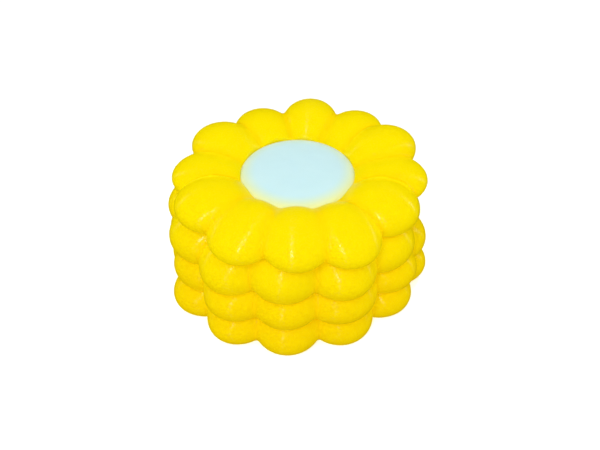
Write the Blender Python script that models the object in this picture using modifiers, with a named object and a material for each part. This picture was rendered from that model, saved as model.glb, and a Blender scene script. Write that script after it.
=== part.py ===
"""Corn cob slice: a short drum-shaped section of a cob, standing on its cut end.

Two pieces make it up:
  kernel_body  four rings of twelve bulging kernels, all fused into one body
               around a round bore
  cob_core     the pale middle of the cob, a plug that fills the bore and
               shows as a shallow pillow, level with the kernels' shoulders

Units are metres, +Z is up. The origin is the middle of the flat underside.
Azimuths run from +X towards +Y, and column 0 of the kernels faces -Y.
"""

import math

import bmesh
import bpy
from mathutils import Matrix, Vector

MM = 0.001

# ------------------------------------------------------------------ sizes
COLUMNS = 12                      # kernels in each ring
STEP = 360.0 / COLUMNS            # degrees from one kernel to the next

BODY_RADIUS = 17.3 * MM           # the wall that the kernels grow from
BODY_TOP = 21.0 * MM              # its top, hidden between the top kernels
COLLAR_RADIUS = 12.3 * MM         # the low collar that the kernels fade into,
COLLAR_TOP = 21.8 * MM            # close round the core
BORE_RADIUS = 10.75 * MM          # the hole for the core
CORE_GAP = 0.30 * MM              # clearance between core and bore, per side
CORE_RADIUS = BORE_RADIUS - CORE_GAP
CORE_TOP = 24.05 * MM             # highest point of the core's pillowed end
CORE_DOME = 1.55 * MM             # how far the pillow falls to its rim
CORE_SQUARE = 2.5                 # 2 is a round pillow, more is a flatter one

# Each ring of kernels, from the tips at the top to the cut at the bottom.
#   height      of the kernels' centres above the underside
#   reach       of the kernels' centres from the ring's own middle
#   out, side, up   half sizes of a kernel: radial, round the ring, upright
#   turn        how far the ring is twisted from column 0 at -Y, in degrees
#   sway        how far kernels bunch towards one side, in degrees
#   sway_at     the azimuth from which they spread
#   tip         how far the outer end of each kernel drops, in degrees
#   shift       the ring's own middle, off the axis of the core
#   taper       how much narrower the kernels are on the bunched side
RINGS = (
    dict(height=22.0, reach=17.3, out=6.55, side=5.95, up=3.85, turn=-3.5,
         sway=3.8, sway_at=-90.0, tip=5.0, shift=(0.00, 0.00), taper=0.38),
    dict(height=14.9, reach=17.3, out=7.05, side=6.65, up=4.95, turn=-4.6,
         sway=-1.9, sway_at=-105.0, tip=0.5, shift=(-0.40, 0.00), taper=0.0),
    dict(height=9.0, reach=17.85, out=7.10, side=6.70, up=4.65, turn=-4.1,
         sway=-1.2, sway_at=-90.0, tip=1.5, shift=(-0.15, 0.00), taper=0.0),
    dict(height=2.4, reach=18.15, out=7.15, side=6.30, up=4.70, turn=-3.8,
         sway=-0.6, sway_at=-60.0, tip=0.0, shift=(-0.20, -0.10), taper=0.0),
)

# facets
AROUND = 14                       # of a kernel, round its radial axis
ALONG = 10                        # of a kernel, from inner to outer end
TURNED_STEPS = 48                 # of the turned shapes


# ---------------------------------------------------------------- scene
def clear_scene():
    for obj in list(bpy.data.objects):
        bpy.data.objects.remove(obj, do_unlink=True)
    for block in (bpy.data.meshes, bpy.data.materials, bpy.data.curves):
        for item in list(block):
            if item.users == 0:
                block.remove(item)
    for coll in list(bpy.data.collections):
        bpy.data.collections.remove(coll)


def new_collection(name):
    coll = bpy.data.collections.new(name)
    bpy.context.scene.collection.children.link(coll)
    return coll


def plastic(name, colour, roughness, subsurface):
    mat = bpy.data.materials.new(name)
    mat.use_nodes = True
    bsdf = mat.node_tree.nodes["Principled BSDF"]
    bsdf.inputs["Base Color"].default_value = (*colour, 1.0)
    bsdf.inputs["Roughness"].default_value = roughness
    bsdf.inputs["Metallic"].default_value = 0.0
    bsdf.inputs["Subsurface Weight"].default_value = subsurface
    mat.diffuse_color = (*colour, 1.0)
    return mat


# --------------------------------------------------------------- shapes
def turned(name, profile, coll, material):
    """A solid of revolution about Z from (radius, height) points."""
    mesh = bpy.data.meshes.new(name)
    bm = bmesh.new()
    verts = [bm.verts.new((r, 0.0, z)) for r, z in profile]
    for a, b in zip(verts, verts[1:]):
        bm.edges.new((a, b))
    bm.to_mesh(mesh)
    bm.free()
    obj = bpy.data.objects.new(name, mesh)
    coll.objects.link(obj)
    screw = obj.modifiers.new("Turn", "SCREW")
    screw.axis = "Z"
    screw.angle = 2.0 * math.pi
    screw.steps = TURNED_STEPS
    screw.render_steps = TURNED_STEPS
    screw.use_merge_vertices = True
    screw.merge_threshold = 0.00001
    screw.use_smooth_shade = True
    if material:
        mesh.materials.append(material)
    return obj


# -------------------------------------------------------------- kernels
def kernel_place(ring, column):
    """Matrix that takes a unit ball to one kernel of a ring."""
    even = math.radians(-90.0 + STEP * column)
    off = even - math.radians(ring["sway_at"])
    azimuth = even + math.radians(ring["turn"] + ring["sway"] * math.cos(off))
    side = ring["side"] + ring["taper"] * math.cos(off)
    outward = Vector((math.cos(azimuth), math.sin(azimuth), 0.0))
    middle = Vector((ring["shift"][0], ring["shift"][1], ring["height"]))
    centre = (middle + outward * ring["reach"]) * MM
    # the ball's own Z, through its poles, becomes the kernel's long axis
    turn = Matrix.Rotation(azimuth, 4, "Z")
    drop = Matrix.Rotation(math.radians(ring["tip"]), 4, "Y")
    lay = Matrix.Rotation(math.pi / 2.0, 4, "Y")
    size = Matrix.Diagonal((ring["up"] * MM, side * MM, ring["out"] * MM, 1.0))
    return Matrix.Translation(centre) @ turn @ drop @ lay @ size


def trim(bm, point, normal):
    """Cuts a closed mesh by a plane, drops what lies beyond it along the
    normal, and caps the cut."""
    cut = bmesh.ops.bisect_plane(
        bm, geom=bm.verts[:] + bm.edges[:] + bm.faces[:], dist=1e-8,
        plane_co=point, plane_no=normal, clear_outer=True)
    rim = [e for e in cut["geom_cut"] if isinstance(e, bmesh.types.BMEdge)]
    if rim:
        bmesh.ops.contextual_create(bm, geom=rim)
        bmesh.ops.recalc_face_normals(bm, faces=bm.faces)


def make_kernels(coll, material):
    """One kernel after another, each trimmed where it would stand in the
    bore, and the lowest ring where the slice was cut off."""
    for level, ring in enumerate(RINGS):
        for column in range(COLUMNS):
            name = f"kernel_{level + 1}_{column:02d}"
            place = kernel_place(ring, column)
            mesh = bpy.data.meshes.new(name)
            bm = bmesh.new()
            bmesh.ops.create_uvsphere(
                bm, u_segments=AROUND, v_segments=ALONG, radius=1.0)
            bmesh.ops.transform(bm, matrix=place, verts=bm.verts)
            inward = -place.translation.copy()
            inward.z = 0.0
            inward.normalize()
            trim(bm, -inward * (BORE_RADIUS + 2.0 * CORE_GAP), inward)
            trim(bm, (0.0, 0.0, 0.0), (0.0, 0.0, -1.0))
            bm.to_mesh(mesh)
            bm.free()
            mesh.materials.append(material)
            mesh.shade_smooth()
            obj = bpy.data.objects.new(name, mesh)
            coll.objects.link(obj)
            obj.hide_render = True
            obj.display_type = "WIRE"


def build_kernel_body(coll, kernels, material):
    """The fused kernels: a turned wall round the bore, flat underneath, with
    the 48 kernels grown onto it."""
    body = turned("kernel_body", [
        (BORE_RADIUS, COLLAR_TOP), (COLLAR_RADIUS, COLLAR_TOP),
        (BODY_RADIUS, BODY_TOP), (BODY_RADIUS, 0.0),
        (BORE_RADIUS, 0.0), (BORE_RADIUS, COLLAR_TOP),
    ], coll, material)
    grow = body.modifiers.new("Kernels", "BOOLEAN")
    grow.operation = "UNION"
    grow.solver = "EXACT"
    grow.operand_type = "COLLECTION"
    grow.collection = kernels
    return body


def core_profile():
    """Down the outside: the pillowed end, the side, the flat base."""
    points = []
    for i in range(11):
        a = math.pi / 2.0 * i / 10.0
        across = math.sin(a) ** (2.0 / CORE_SQUARE)
        above = max(math.cos(a), 0.0) ** (2.0 / CORE_SQUARE)
        points.append((CORE_RADIUS * across,
                       CORE_TOP - CORE_DOME * (1.0 - above)))
    points.append((CORE_RADIUS, 0.0))
    points.append((0.0, 0.0))
    return points


def build():
    clear_scene()
    bpy.context.scene.unit_settings.system = "METRIC"
    bpy.context.scene.unit_settings.scale_length = 1.0

    parts = new_collection("corn_cob_slice")
    kernels = new_collection("kernels")

    yellow = plastic("kernel_yellow", (0.93, 0.72, 0.01), 0.42, 0.15)
    pale = plastic("core_pale", (0.60, 0.84, 0.85), 0.50, 0.10)

    make_kernels(kernels, yellow)
    build_kernel_body(parts, kernels, yellow)
    turned("cob_core", core_profile(), parts, pale)


build()
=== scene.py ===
"""Looks of the corn cob slice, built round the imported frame."""
import math

import bpy
import numpy as np
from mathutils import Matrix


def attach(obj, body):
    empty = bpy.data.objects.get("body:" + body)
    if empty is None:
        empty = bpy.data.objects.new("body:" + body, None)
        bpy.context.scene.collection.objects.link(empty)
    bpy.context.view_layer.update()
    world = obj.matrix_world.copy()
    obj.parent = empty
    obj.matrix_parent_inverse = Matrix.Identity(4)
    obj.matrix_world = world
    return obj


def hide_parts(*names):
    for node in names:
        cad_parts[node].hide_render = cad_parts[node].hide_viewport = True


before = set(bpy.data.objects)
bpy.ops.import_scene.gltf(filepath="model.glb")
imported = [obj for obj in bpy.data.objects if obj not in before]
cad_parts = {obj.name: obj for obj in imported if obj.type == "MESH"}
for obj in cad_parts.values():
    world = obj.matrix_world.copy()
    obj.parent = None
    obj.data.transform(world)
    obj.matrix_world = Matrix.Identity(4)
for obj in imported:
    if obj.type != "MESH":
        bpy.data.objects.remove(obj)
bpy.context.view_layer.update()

MM = 0.001

# ---------------------------------------------------------------- the design
# The same four rings of kernels as the CAD, in millimetres, and the small
# unevenness of single kernels, column 0 facing -Y, columns counted
# anticlockwise seen from above.
BORE = 10.40          # the hole for the core
NECK = 8.50           # its narrower neck, hidden under the core's rim
LIP = 10.44           # and its mouth, where it meets the rim
WALL = 17.3
WALL_TOP = 21.05
COLUMNS = 12

RINGS = [
    # height, reach, out, side, up, tip, turn of each column
    dict(z=22.05, rho=17.3, out=6.55, side=5.92, up=3.75, tip=4.5,
         turn=[-.5, -3, 0, -2, -5.5, -8, -8, -6, -4, -3.5, -0.5, -1],
         dout=[0, .1, -.2, -.15, .15, 0, .2, .05, .1, -.3, 0, .05],
         dside=[.2, .1, .4, .1, -.1, -.4, -.4, -.3, 0, -.1, .35, .3],
         dup=[0, -.1, .3, -.4, .5, -.2, .35, 0, .25, -.5, .1, -.1],
         dz=[.25, -.1, .1, -.1, .5, 0, .3, -.3, 0, -.4, .5, -.1],
         drho=[-.2, .4, 0, .1, .3, .4, .2, -.45, -.3, -.2, -.1, .05],
         dtip=[1.5, 4.5, -1, -5, -9, -3, 3, 5, 0, 1, -4, 6]),
    dict(z=14.90, rho=17.25, out=7.05, side=6.65, up=4.92, tip=0.5,
         turn=[-7, -5.5, -4, -2.5, -5, -4, -6, -5, -3.5, -3, -6, -6.5],
         dout=[-.15, .25, 0, -.5, 0, .1, 0, -.1, 0, .15, .15, .2],
         dside=[0, -.15, .25, -.05, .1, 0, -.1, .1, 0, .05, .2, -.2],
         dup=[.15, -.25, .05, -.05, 0, .1, 0, -.1, 0, 0, .25, 0],
         dz=[.25, 0, .1, .2, -.1, .1, 0, -.2, .1, 0, 0, -.45],
         drho=[-.15, 0, -.3, -.6, -.2, 0, .1, 0, .2, .25, .5, .4],
         dtip=[-1, 2, -4, 0, 1, -2, 2, 0, -1, 1, 0, 2]),
    dict(z=9.00, rho=17.85, out=7.08, side=6.70, up=4.65, tip=1.5,
         turn=[-6, -5.5, -1.5, -4.5, -3, -5, -4, -6, -3, -4, -3, -3.5],
         dout=[-.25, -.2, .1, -.05, 0, .1, 0, -.1, .1, 0, 0, .5],
         dside=[-.25, .3, -.25, .3, 0, .1, -.1, 0, .1, -.1, 0, -.15],
         dup=[-.05, -.1, -.2, .1, 0, 0, .1, 0, -.1, 0, .2, 0],
         dz=[-.1, -.2, .2, .1, 0, -.1, .1, 0, -.1, .1, -.1, 0],
         drho=[-.05, -.2, -.15, .05, .1, 0, -.1, .1, 0, .1, .2, .2],
         dtip=[-4, 0, 1, 1, 0, 2, -1, 0, 1, 0, 4, 3]),
    dict(z=2.40, rho=18.10, out=7.15, side=6.30, up=4.70, tip=0.0,
         turn=[-5.5, -4.5, -3, -5, -3.5, -4, -5, -3, -4, -3.5, -2, -3],
         dout=[-.2, -.8, -.3, .2, 0, .1, 0, -.1, 0, 0, .3, .6],
         dside=[.2, -.1, -.2, -.1, .1, 0, -.1, .1, 0, 0, .1, 0],
         dup=[.1, 0, 0, -.2, 0, 0, .1, 0, 0, 0, .1, 0],
         dz=[.05, -.1, .2, .05, 0, .1, 0, -.1, 0, .1, -.2, 0],
         drho=[-.1, -.2, -.2, .2, 0, .1, 0, -.1, .1, 0, .6, 0],
         dtip=[0, -2, -2, 2, 0, 1, -1, 0, 1, 0, 3, -2]),
]
BLEND_SIDE = 0.8      # fillet between neighbours in a ring
BLEND_RING = 0.35     # fillet between one ring and the next
BLEND_WALL = 0.8
COLLAR_R, COLLAR_TOP, BLEND_COLLAR = 11.3, 22.5, 2.8

CORE_R = 10.48
CORE_TOP = 24.0
CORE_DROP = 1.55
CORE_EDGE = 2.5


def kernel_table():
    """centre, axes and half sizes of every kernel, [ring][column]"""
    table = []
    for ring in RINGS:
        row = []
        for c in range(COLUMNS):
            a = math.radians(-90 + 30 * c + ring["turn"][c])
            t = math.radians(ring["tip"] + ring["dtip"][c])
            er = np.array([math.cos(a), math.sin(a), 0.0])
            et = np.array([-math.sin(a), math.cos(a), 0.0])
            ez = np.array([0.0, 0.0, 1.0])
            e1 = math.cos(t) * er - math.sin(t) * ez
            e3 = math.sin(t) * er + math.cos(t) * ez
            centre = er * (ring["rho"] + ring["drho"][c]) + ez * (ring["z"] + ring["dz"][c])
            row.append((centre, np.array([e1, et, e3]),
                        np.array([ring["out"] + ring["dout"][c], ring["side"] + ring["dside"][c],
                                  ring["up"] + ring["dup"][c]])))
        table.append(row)
    return table


KERNELS = kernel_table()


def ellipsoid(p, kernel):
    centre, axes, half = kernel
    q = (p - centre) @ axes.T / half
    k0 = np.linalg.norm(q, axis=-1)
    k1 = np.linalg.norm(q / half, axis=-1)
    return k0 * (k0 - 1.0) / np.maximum(k1, 1e-9)


def smooth_min(a, b, k):
    h = np.maximum(k - np.abs(a - b), 0.0) / k
    return np.minimum(a, b) - h * h * k * 0.25


def smooth_max(a, b, k):
    return -smooth_min(-a, -b, k)


def distance(p, column, want_crease=False):
    """Signed distance to the kernel body for points near one column."""
    total = None
    near = []
    for level in range(4):
        d = None
        for c in (column - 1, column, column + 1):
            e = ellipsoid(p, KERNELS[level][c % COLUMNS])
            near.append(e)
            d = e if d is None else smooth_min(d, e, BLEND_SIDE)
        total = d if total is None else smooth_min(total, d, BLEND_RING)
    r = np.hypot(p[..., 0], p[..., 1])
    wall = np.maximum(r - WALL, p[..., 2] - WALL_TOP)
    total = smooth_min(total, wall, BLEND_WALL)
    collar = np.maximum(r - COLLAR_R, p[..., 2] - COLLAR_TOP)
    total = smooth_min(total, collar, BLEND_COLLAR)
    bore = np.interp(p[..., 2], (17.0, 20.0, 22.15, 22.3), (BORE, NECK, NECK, LIP))
    total = smooth_max(total, bore - r, 0.1)
    if want_crease:
        near = np.sort(np.stack(near), axis=0)
        return total, near[1] - near[0]
    return total


def trace(start, direction, reach, column):
    """Walks from start + direction * reach back towards start, to the first
    surface met."""
    t = np.full(start.shape[:-1], reach, float)
    for _ in range(60):
        d = distance(start + direction * t[..., None], column)
        t = t - 0.75 * d
    return t


# ------------------------------------------------------------ kernel body
AROUND = 576
FAN = 66
SIDE_ROWS = 86


def side_heights():
    """Row heights down the outside, closer together at the creases."""
    z = np.linspace(21.9, 0.25, 4000)
    creases = np.array([18.4, 11.9, 5.9])
    weight = 1.0 + 0.9 * sum(np.exp(-((z - c) / 1.0) ** 2) for c in creases)
    s = np.concatenate([[0], np.cumsum(weight[1:] + weight[:-1])])
    s /= s[-1]
    return np.interp(np.linspace(0, 1, SIDE_ROWS), s, z)


def build_kernel_mesh():
    rows = []           # each: array AROUND x 3
    crease = []
    azimuth = np.radians(-90 + np.arange(AROUND) * 360.0 / AROUND)
    outward = np.stack([np.cos(azimuth), np.sin(azimuth), 0 * azimuth], -1)
    column = np.round((np.arange(AROUND) * 360.0 / AROUND + 4.0) / 30.0).astype(int)
    up = np.array([0.0, 0.0, 1.0])

    # fan rows, crowded where the collar meets the core
    angles = np.radians(np.concatenate([np.linspace(186, 176, 9)[:-1],
                                        np.linspace(176, 158, 13)[:-1],
                                        np.linspace(158, 0, FAN - 20)]))
    fan = np.arctan2(4.0 * np.sin(angles), 6.5 * np.cos(angles))
    heights = side_heights()
    P = np.zeros((FAN + SIDE_ROWS - 1, AROUND, 3))
    K = np.zeros((FAN + SIDE_ROWS - 1, AROUND))
    for c in range(0, COLUMNS + 1):
        m = np.where(column == c)[0]
        if len(m) == 0:
            continue
        er = outward[m]
        # fan over the top ring
        dirs = (np.cos(fan)[:, None, None] * er[None] + np.sin(fan)[:, None, None] * up)
        start = np.broadcast_to(er * 17.2 + up * heights[0], dirs.shape)
        t = trace(start, dirs, np.where(np.cos(fan) < -0.8, 9.0, 12.0)[:, None] + 0 * dirs[..., 0], c)
        pts = start + dirs * t[..., None]
        P[:FAN, m] = pts
        # rows down the outside
        start = np.zeros((SIDE_ROWS - 1, len(m), 3)) + er[None] * 10.0
        start[..., 2] = heights[1:, None]
        dirs = np.broadcast_to(er, start.shape)
        t = trace(start, dirs, np.full(start.shape[:-1], 18.0), c)
        P[FAN:, m] = start + dirs * t[..., None]
        _, k = distance(P[:, m], c, want_crease=True)
        K[:, m] = k
    # underside and bore
    last = P[-1]
    r_last = np.hypot(last[:, 0], last[:, 1])
    extra = []
    for r in (r_last - 0.22, r_last * 0.6 + BORE * 0.4, r_last * 0.25 + BORE * 0.75, 0 * r_last + BORE):
        extra.append(np.stack([outward[:, 0] * r, outward[:, 1] * r, 0 * r], -1))
    for r, z in ((BORE, 8.0), (BORE, 17.0), (NECK, 20.0)):
        extra.append(np.stack([outward[:, 0] * r, outward[:, 1] * r, 0 * azimuth + z], -1))
    P = np.concatenate([P, np.stack(extra)])
    K = np.concatenate([K, np.full((len(extra), AROUND), 5.0)])
    n_rows = len(P)
    verts = P.reshape(-1, 3) * MM
    i, j = np.meshgrid(np.arange(n_rows), np.arange(AROUND), indexing="ij")
    i2, j2 = (i + 1) % n_rows, (j + 1) % AROUND
    faces = np.stack([i * AROUND + j, i2 * AROUND + j, i2 * AROUND + j2, i * AROUND + j2], -1).reshape(-1, 4)
    return verts, faces, K.reshape(-1)


def mesh_object(name, verts, faces):
    mesh = bpy.data.meshes.new(name)
    mesh.vertices.add(len(verts))
    mesh.vertices.foreach_set("co", verts.astype(np.float32).ravel())
    n = faces.shape[1]
    mesh.loops.add(faces.size)
    mesh.loops.foreach_set("vertex_index", faces.astype(np.int32).ravel())
    mesh.polygons.add(len(faces))
    mesh.polygons.foreach_set("loop_start", np.arange(0, faces.size, n, dtype=np.int32))
    mesh.update(calc_edges=True)
    mesh.validate()
    mesh.shade_smooth()
    obj = bpy.data.objects.new(name, mesh)
    bpy.context.scene.collection.objects.link(obj)
    return obj


def point_attribute(obj, name, values):
    attribute = obj.data.attributes.new(name, "FLOAT", "POINT")
    attribute.data.foreach_set("value", values.astype(np.float32))


verts, faces, gap = build_kernel_mesh()
kernels = mesh_object("kernels_fine", verts, faces)
point_attribute(kernels, "crease", np.exp(-np.maximum(gap, 0) / 0.7))


# ------------------------------------------------------------------- core
def build_core():
    around, rows = 240, 46
    a = np.arange(around) * 2 * math.pi / around
    n = CORE_EDGE
    prof = []
    for s in np.linspace(0.0, 1.0, rows)[1:]:
        # superellipse from the middle of the top to the side
        th = s * math.pi / 2
        r = CORE_R * math.sin(th) ** (2 / n)
        z = CORE_TOP - CORE_DROP + CORE_DROP * max(math.cos(th), 0) ** (2 / n)
        prof.append((r, z))
    prof += [(CORE_R - 0.4, 22.1), (NECK - 0.05, 21.2), (NECK - 0.05, 20.0),
             (BORE - 0.05, 16.95), (BORE - 0.05, 0.25), (BORE - 0.3, 0.0), (BORE * 0.5, 0.0)]
    verts = [(0.0, 0.0, CORE_TOP)]
    for r, z in prof:
        verts += [(r * math.cos(t), r * math.sin(t), z) for t in a]
    verts.append((0.0, 0.0, 0.0))
    verts = np.array(verts) * MM
    faces = []
    for j in range(around):
        faces.append((0, 1 + j, 1 + (j + 1) % around))
    for i in range(len(prof) - 1):
        for j in range(around):
            p, q = 1 + i * around, 1 + (i + 1) * around
            k = (j + 1) % around
            faces.append((p + j, q + j, q + k, p + k))
    last = 1 + (len(prof) - 1) * around
    end = len(verts) - 1
    for j in range(around):
        faces.append((last + j, end, last + (j + 1) % around))
    mesh = bpy.data.meshes.new("core_fine")
    mesh.from_pydata([tuple(v) for v in verts], [], faces)
    mesh.shade_smooth()
    obj = bpy.data.objects.new("core_fine", mesh)
    bpy.context.scene.collection.objects.link(obj)
    return obj


core = build_core()


# -------------------------------------------------------------- materials
def new_material(name):
    mat = bpy.data.materials.new(name)
    mat.use_nodes = True
    nodes, links = mat.node_tree.nodes, mat.node_tree.links
    return mat, nodes, links, nodes["Principled BSDF"]


def math_node(N, L, kind, *values):
    node = N.new("ShaderNodeMath")
    node.operation = kind
    for i, v in enumerate(values):
        if isinstance(v, (int, float)):
            node.inputs[i].default_value = v
        else:
            L.new(v, node.inputs[i])
    return node.outputs[0]


def noise_node(N, L, vector, scale, detail=2.0, rough=0.5):
    node = N.new("ShaderNodeTexNoise")
    node.inputs["Scale"].default_value = scale
    node.inputs["Detail"].default_value = detail
    node.inputs["Roughness"].default_value = rough
    L.new(vector, node.inputs["Vector"])
    return node.outputs["Fac"]


def bump_node(N, L, height, distance):
    node = N.new("ShaderNodeBump")
    node.inputs["Strength"].default_value = 1.0
    node.inputs["Distance"].default_value = distance
    L.new(height, node.inputs["Height"])
    return node.outputs[0]


LAYER = 0.00025        # height of one print layer, assumed: usual for such a print


def bead_height(N, L, vector, z):
    """Round beads stacked along Z, slightly wandering up and down."""
    wander = noise_node(N, L, vector, 220.0, 2.0)
    lifted = math_node(N, L, "MULTIPLY_ADD", wander, 0.00016, z)
    phase = math_node(N, L, "MULTIPLY", lifted, math.pi / LAYER)
    wave = math_node(N, L, "SINE", phase)
    return math_node(N, L, "ABSOLUTE", wave)


def yellow_material():
    mat, N, L, bsdf = new_material("kernel_yellow_print")
    bsdf.inputs["Roughness"].default_value = 0.29
    # light put in elsewhere and coming back out through the clear plastic
    bsdf.inputs["Specular IOR Level"].default_value = 0.44
    bsdf.inputs["Coat Roughness"].default_value = 0.36
    bsdf.inputs["Anisotropic"].default_value = 1.0
    bsdf.inputs["Anisotropic Rotation"].default_value = 0.25
    bsdf.inputs["Subsurface Weight"].default_value = 1.0
    bsdf.inputs["Subsurface Radius"].default_value = (0.8, 0.8, 0.2)
    bsdf.inputs["Subsurface Scale"].default_value = 0.0045

    coord = N.new("ShaderNodeTexCoord")
    sep = N.new("ShaderNodeSeparateXYZ")
    L.new(coord.outputs["Object"], sep.inputs[0])
    place, z = coord.outputs["Object"], sep.outputs["Z"]

    # colour: lemon yellow, slightly uneven; and painted light: a lighter orange down
    # in the creases, standing in for light that comes through the plastic from both sides
    patch = noise_node(N, L, place, 1500.0, 3.0, 0.7)
    uneven = N.new("ShaderNodeMix")
    uneven.data_type = "RGBA"
    L.new(patch, uneven.inputs[0])
    uneven.inputs[6].default_value = (0.632, 0.519, 0.0006, 1)
    uneven.inputs[7].default_value = (0.638, 0.525, 0.0008, 1)
    # painted shade: darker and more orange towards the foot, where less light reaches
    foot_shade_ramp = N.new("ShaderNodeMapRange")
    foot_shade_ramp.interpolation_type = "SMOOTHSTEP"
    L.new(z, foot_shade_ramp.inputs["Value"])
    foot_shade_ramp.inputs["From Min"].default_value = 0.021
    foot_shade_ramp.inputs["From Max"].default_value = 0.007
    foot_shade_ramp.inputs["To Min"].default_value = 0.0
    foot_shade_ramp.inputs["To Max"].default_value = 1.0
    painted_foot_shade = N.new("ShaderNodeMix")
    painted_foot_shade.data_type = "RGBA"
    L.new(foot_shade_ramp.outputs[0], painted_foot_shade.inputs[0])
    L.new(uneven.outputs[2], painted_foot_shade.inputs[6])
    painted_foot_shade.inputs[7].default_value = (0.616, 0.446, 0.0006, 1)
    # painted light: where the crease mask is high the base colour is lifted to a lighter orange
    crease = N.new("ShaderNodeAttribute")
    crease.attribute_name = "crease"
    crease_light_amount = math_node(N, L, "MULTIPLY", crease.outputs["Fac"], 0.60)
    painted_crease_light = N.new("ShaderNodeMix")
    painted_crease_light.data_type = "RGBA"
    L.new(crease_light_amount, painted_crease_light.inputs[0])
    L.new(painted_foot_shade.outputs[2], painted_crease_light.inputs[6])
    painted_crease_light.inputs[7].default_value = (0.760, 0.520, 0.0008, 1)
    L.new(painted_crease_light.outputs[2], bsdf.inputs["Base Color"])
    # painted glow: the whole kernel body gives off a little light of its own, standing in for light carried
    # inside the plastic, and the creases give off more
    painted_glow_colour = N.new("ShaderNodeMix")
    painted_glow_colour.data_type = "RGBA"
    L.new(crease.outputs["Fac"], painted_glow_colour.inputs[0])
    painted_glow_colour.inputs[6].default_value = (1.0, 0.78, 0.002, 1)
    painted_glow_colour.inputs[7].default_value = (1.0, 0.69, 0.002, 1)
    L.new(painted_glow_colour.outputs[2], bsdf.inputs["Emission Color"])
    painted_glow_strength = math_node(N, L, "MULTIPLY_ADD", crease.outputs["Fac"], 0.055, 0.310)
    L.new(painted_glow_strength, bsdf.inputs["Emission Strength"])

    beads = bead_height(N, L, place, z)

    # the gloss: the beads run level, so the lamp's reflection is drawn out
    # up and down, and is broken into sparkles because no two beads lie alike
    round_about = N.new("ShaderNodeTangent")
    round_about.direction_type = "RADIAL"
    round_about.axis = "Z"
    L.new(round_about.outputs[0], bsdf.inputs["Tangent"])
    flat = N.new("ShaderNodeMapping")
    flat.inputs["Scale"].default_value = (0.6, 0.6, 1.0)
    L.new(place, flat.inputs["Vector"])
    bands = noise_node(N, L, flat.outputs[0], 2700.0, 0.5)
    faint = math_node(N, L, "MULTIPLY_ADD", beads, 0.10, bands)
    L.new(bump_node(N, L, faint, 0.000010), bsdf.inputs["Normal"])
    # only the flattest spot of each bead shines
    spots = N.new("ShaderNodeMapRange")
    spots.interpolation_type = "SMOOTHSTEP"
    L.new(noise_node(N, L, place, 2500.0, 0.0), spots.inputs["Value"])
    spots.inputs["From Min"].default_value = 0.54
    spots.inputs["From Max"].default_value = 0.59
    spots.inputs["To Min"].default_value = 0.12
    spots.inputs["To Max"].default_value = 1.0
    open_face = math_node(N, L, "SUBTRACT", 1.0, crease.outputs["Fac"])
    open_face = math_node(N, L, "MULTIPLY", open_face, open_face)
    L.new(math_node(N, L, "MULTIPLY", spots.outputs[0], open_face), bsdf.inputs["Specular Tint"])
    # and a few stray grains shine off to the side
    grains = N.new("ShaderNodeMapRange")
    grains.interpolation_type = "SMOOTHSTEP"
    L.new(noise_node(N, L, place, 2900.0, 0.0), grains.inputs["Value"])
    grains.inputs["From Min"].default_value = 0.60
    grains.inputs["From Max"].default_value = 0.68
    grains.inputs["To Min"].default_value = 0.0
    grains.inputs["To Max"].default_value = 0.28
    L.new(grains.outputs[0], bsdf.inputs["Coat Weight"])
    return mat


def core_material():
    mat, N, L, bsdf = new_material("core_pale_matte")
    bsdf.inputs["Roughness"].default_value = 0.42
    bsdf.inputs["Specular IOR Level"].default_value = 0.12
    bsdf.inputs["Subsurface Weight"].default_value = 0.4
    bsdf.inputs["Subsurface Radius"].default_value = (1.0, 0.9, 0.8)
    bsdf.inputs["Subsurface Scale"].default_value = 0.0010

    coord = N.new("ShaderNodeTexCoord")
    sep = N.new("ShaderNodeSeparateXYZ")
    L.new(coord.outputs["Object"], sep.inputs[0])
    place, x, y, z = coord.outputs["Object"], *sep.outputs

    cloud = noise_node(N, L, place, 130.0, 2.0)
    base = N.new("ShaderNodeMix")
    base.data_type = "RGBA"
    L.new(cloud, base.inputs[0])
    base.inputs[6].default_value = (0.540, 0.775, 0.815, 1)
    base.inputs[7].default_value = (0.590, 0.825, 0.855, 1)

    # painted light: yellow light from the kernels is painted onto the core's rim, most of it towards the
    # front corners
    radius = math_node(N, L, "SQRT", math_node(
        N, L, "ADD", math_node(N, L, "MULTIPLY", x, x), math_node(N, L, "MULTIPLY", y, y)))
    edge = N.new("ShaderNodeMapRange")
    edge.interpolation_type = "SMOOTHSTEP"
    L.new(radius, edge.inputs["Value"])
    edge.inputs["From Min"].default_value = 0.0074
    edge.inputs["From Max"].default_value = 0.0110
    edge.inputs["To Min"].default_value = 0.0
    edge.inputs["To Max"].default_value = 1.0
    front = N.new("ShaderNodeMapRange")
    L.new(y, front.inputs["Value"])
    front.inputs["From Min"].default_value = 0.0070
    front.inputs["From Max"].default_value = -0.0070
    front.inputs["To Min"].default_value = 0.25
    front.inputs["To Max"].default_value = 0.75
    painted_glow_amount = math_node(N, L, "MULTIPLY", edge.outputs[0], front.outputs[0])
    # painted light: the rim's colour is mixed towards yellow
    painted_rim_light = N.new("ShaderNodeMix")
    painted_rim_light.data_type = "RGBA"
    L.new(painted_glow_amount, painted_rim_light.inputs[0])
    L.new(base.outputs[2], painted_rim_light.inputs[6])
    painted_rim_light.inputs[7].default_value = (0.86, 0.82, 0.14, 1)
    L.new(painted_rim_light.outputs[2], bsdf.inputs["Base Color"])

    # shallow dents, and the strokes of the topmost layer
    dents = noise_node(N, L, place, 300.0, 1.0)
    fine = noise_node(N, L, place, 2600.0, 2.0)
    height = math_node(N, L, "MULTIPLY_ADD", fine, 0.10, dents)
    L.new(bump_node(N, L, height, 0.00016), bsdf.inputs["Normal"])
    return mat


kernels.data.materials.append(yellow_material())
core.data.materials.append(core_material())

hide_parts("kernel_body")
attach(kernels, "root")
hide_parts("cob_core")
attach(core, "root")


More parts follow.
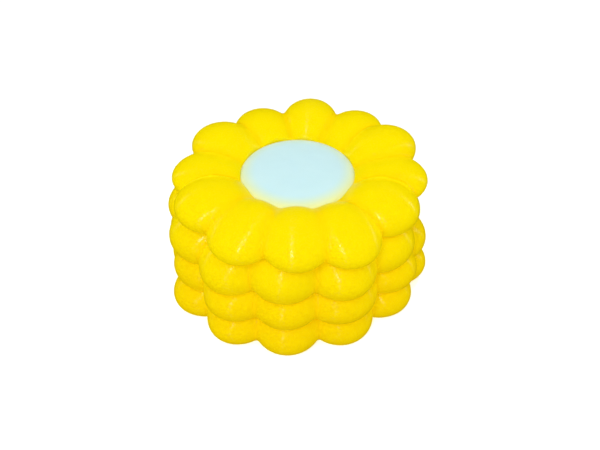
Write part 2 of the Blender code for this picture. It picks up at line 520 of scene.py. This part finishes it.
# ------------------------------------------------------- floor and lights
def make_floor():
    mesh = bpy.data.meshes.new("floor")
    s = 3.0
    mesh.from_pydata([(-s, -s, 0), (s, -s, 0), (s, s, 0), (-s, s, 0)], [], [(0, 1, 2, 3)])
    floor = bpy.data.objects.new("floor", mesh)
    floor.location.z = -0.00002
    bpy.context.scene.collection.objects.link(floor)
    mat, N, L, bsdf = new_material("floor_pale")
    bsdf.inputs["Base Color"].default_value = (0.93, 0.93, 0.93, 1)
    bsdf.inputs["Roughness"].default_value = 0.9
    bsdf.inputs["Specular IOR Level"].default_value = 0.0
    # a lit table: it glows a little round the object, so the contact
    # shadow stays as faint as on a light table
    coord = N.new("ShaderNodeTexCoord")
    away = N.new("ShaderNodeVectorMath")
    away.operation = "LENGTH"
    L.new(coord.outputs["Object"], away.inputs[0])
    near = N.new("ShaderNodeMapRange")
    near.interpolation_type = "SMOOTHSTEP"
    L.new(away.outputs["Value"], near.inputs["Value"])
    near.inputs["From Min"].default_value = 0.022
    near.inputs["From Max"].default_value = 0.055
    near.inputs["To Min"].default_value = 0.42
    near.inputs["To Max"].default_value = 0.18
    bsdf.inputs["Emission Color"].default_value = (0.96, 0.98, 1.0, 1)
    # and it dims far off, to the tone of the backdrop
    far = N.new("ShaderNodeMapRange")
    far.interpolation_type = "SMOOTHSTEP"
    L.new(away.outputs["Value"], far.inputs["Value"])
    far.inputs["From Min"].default_value = 0.35
    far.inputs["From Max"].default_value = 2.2
    far.inputs["To Min"].default_value = 1.0
    far.inputs["To Max"].default_value = 0.30
    painted_glow_amount = math_node(N, L, "MULTIPLY", near.outputs[0], far.outputs[0])
    L.new(painted_glow_amount, bsdf.inputs["Emission Strength"])
    mesh.materials.append(mat)
    floor.visible_glossy = False
    floor.visible_diffuse = False
    return floor


floor = make_floor()

scene = bpy.context.scene
world = bpy.data.worlds.new("studio")
scene.world = world
world.use_nodes = True
sky = world.node_tree.nodes["Background"]
sky.inputs[1].default_value = 0.62
# white all round, and warmer from underneath, where light would come back
# off the table by way of the object
side = world.node_tree.nodes.new("ShaderNodeTexCoord")
level = world.node_tree.nodes.new("ShaderNodeSeparateXYZ")
below = world.node_tree.nodes.new("ShaderNodeMapRange")
below.inputs["From Min"].default_value = -0.10
below.inputs["From Max"].default_value = -0.45
tone = world.node_tree.nodes.new("ShaderNodeMix")
tone.data_type = "RGBA"
tone.inputs[6].default_value = (1.0, 1.0, 1.0, 1)
tone.inputs[7].default_value = (1.02, 0.80, 0.40, 1)
world.node_tree.links.new(side.outputs["Generated"], level.inputs[0])
world.node_tree.links.new(level.outputs["Z"], below.inputs["Value"])
world.node_tree.links.new(below.outputs[0], tone.inputs[0])
world.node_tree.links.new(tone.outputs[2], sky.inputs[0])
world.cycles_visibility.glossy = False


def area(name, azimuth, elevation, distance, size, power, glossy=True):
    """A square lamp aimed at the object; azimuth 0 is the camera's side."""
    light = bpy.data.lights.new(name, "AREA")
    light.shape = "DISK"
    light.size = size
    light.energy = power
    obj = bpy.data.objects.new(name, light)
    a, e = math.radians(azimuth), math.radians(elevation)
    d = np.array([math.sin(a) * math.cos(e), -math.cos(a) * math.cos(e), math.sin(e)])
    target = np.array([0, 0, 0.012])
    obj.location = target + d * distance
    from mathutils import Vector
    obj.rotation_euler = Vector(d).to_track_quat("Z", "Y").to_euler()
    scene.collection.objects.link(obj)
    obj.visible_glossy = glossy
    return obj


area("key", -16, 52, 0.6, 0.015, 0.95)
area("front", 0, 42, 0.8, 0.4, 1.15, glossy=False)
area("rim", 112, 20, 0.6, 0.08, 0.16)
area("rim_left", -118, 20, 0.6, 0.08, 0.08)
area("overhead", 0, 80, 0.8, 0.6, 0.95, glossy=False)

# ----------------------------------------------------------------- camera
ELEVATION, DISTANCE, FOCAL_PX, ROLL = 42.08, 138.17, 708.47, -0.067
LOOK_X, LOOK_Z = 0.363, 10.007
cam_data = bpy.data.cameras.new("camera")
cam_data.sensor_width = 36.0
cam_data.lens = FOCAL_PX / 600.0 * 36.0
cam_data.clip_start = 0.005
cam_data.clip_end = 20.0
cam = bpy.data.objects.new("camera", cam_data)
e = math.radians(ELEVATION)
cam.location = (LOOK_X * MM, -DISTANCE * math.cos(e) * MM, (LOOK_Z + DISTANCE * math.sin(e)) * MM)
cam.rotation_euler = (math.pi / 2 - e, math.radians(ROLL), 0.0)
scene.collection.objects.link(cam)
scene.camera = cam

scene.view_settings.view_transform = "Standard"
scene.view_settings.look = "None"
